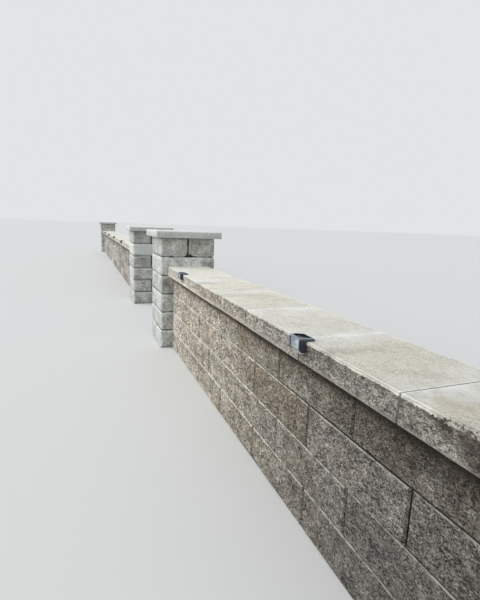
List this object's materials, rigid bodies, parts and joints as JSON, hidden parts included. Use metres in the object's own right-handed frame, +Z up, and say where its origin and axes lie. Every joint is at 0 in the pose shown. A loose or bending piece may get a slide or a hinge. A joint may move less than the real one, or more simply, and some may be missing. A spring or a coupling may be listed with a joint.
{
  "type": "concrete block garden wall with piers and coping",
  "caption": "Low dry-laid concrete block boundary wall in two stretches with square capped piers, smooth coping slabs, a gateway between and small solar step lamps.",
  "frame": {"origin": "centre of the whole wall's footprint, on the ground", "axes": "+X along the wall to the right seen from the road, +Y towards the garden, +Z up; the road face and the lamps are at -Y"},
  "size_m": [16.254, 0.534, 0.955],
  "materials": {
    "wall_block": "split-face concrete, warm grey-beige",
    "coping_slab": "smooth cast concrete, cream",
    "pier_block": "tumbled concrete, grey",
    "pier_cap": "smooth cast concrete, light grey",
    "lamp_housing": "moulded, blue-grey",
    "lamp_lens": "frosted, pale",
    "lamp_panel": "dark solar cell under clear resin"
  },
  "bodies": {
    "root": {"left_wall_course_1": "wall_block", "left_wall_course_2": "wall_block", "left_wall_course_3": "wall_block", "left_wall_course_4": "wall_block", "left_wall_coping": "coping_slab", "right_wall_course_1": "wall_block", "right_wall_course_2": "wall_block", "right_wall_course_3": "wall_block", "right_wall_course_4": "wall_block", "right_wall_coping": "coping_slab", "left_end_pier_course_1": "pier_block", "left_end_pier_course_2": "pier_block", "left_end_pier_course_3": "pier_block", "left_end_pier_course_4": "pier_block", "left_end_pier_course_5": "pier_block", "left_end_pier_course_6": "pier_block", "left_end_pier_cap": "pier_cap", "left_gate_pier_course_1": "pier_block", "left_gate_pier_course_2": "pier_block", "left_gate_pier_course_3": "pier_block", "left_gate_pier_course_4": "pier_block", "left_gate_pier_course_5": "pier_block", "left_gate_pier_course_6": "pier_block", "left_gate_pier_cap": "pier_cap", "right_gate_pier_course_1": "pier_block", "right_gate_pier_course_2": "pier_block", "right_gate_pier_course_3": "pier_block", "right_gate_pier_course_4": "pier_block", "right_gate_pier_course_5": "pier_block", "right_gate_pier_course_6": "pier_block", "right_gate_pier_cap": "pier_cap", "right_end_pier_course_1": "pier_block", "right_end_pier_course_2": "pier_block", "right_end_pier_course_3": "pier_block", "right_end_pier_course_4": "pier_block", "right_end_pier_course_5": "pier_block", "right_end_pier_course_6": "pier_block", "right_end_pier_cap": "pier_cap", "left_wall_lamp_housings": "lamp_housing", "left_wall_lamp_lenses": "lamp_lens", "left_wall_lamp_panels": "lamp_panel", "right_wall_lamp_housings": "lamp_housing", "right_wall_lamp_lenses": "lamp_lens", "right_wall_lamp_panels": "lamp_panel"}
  },
  "joints": []
}
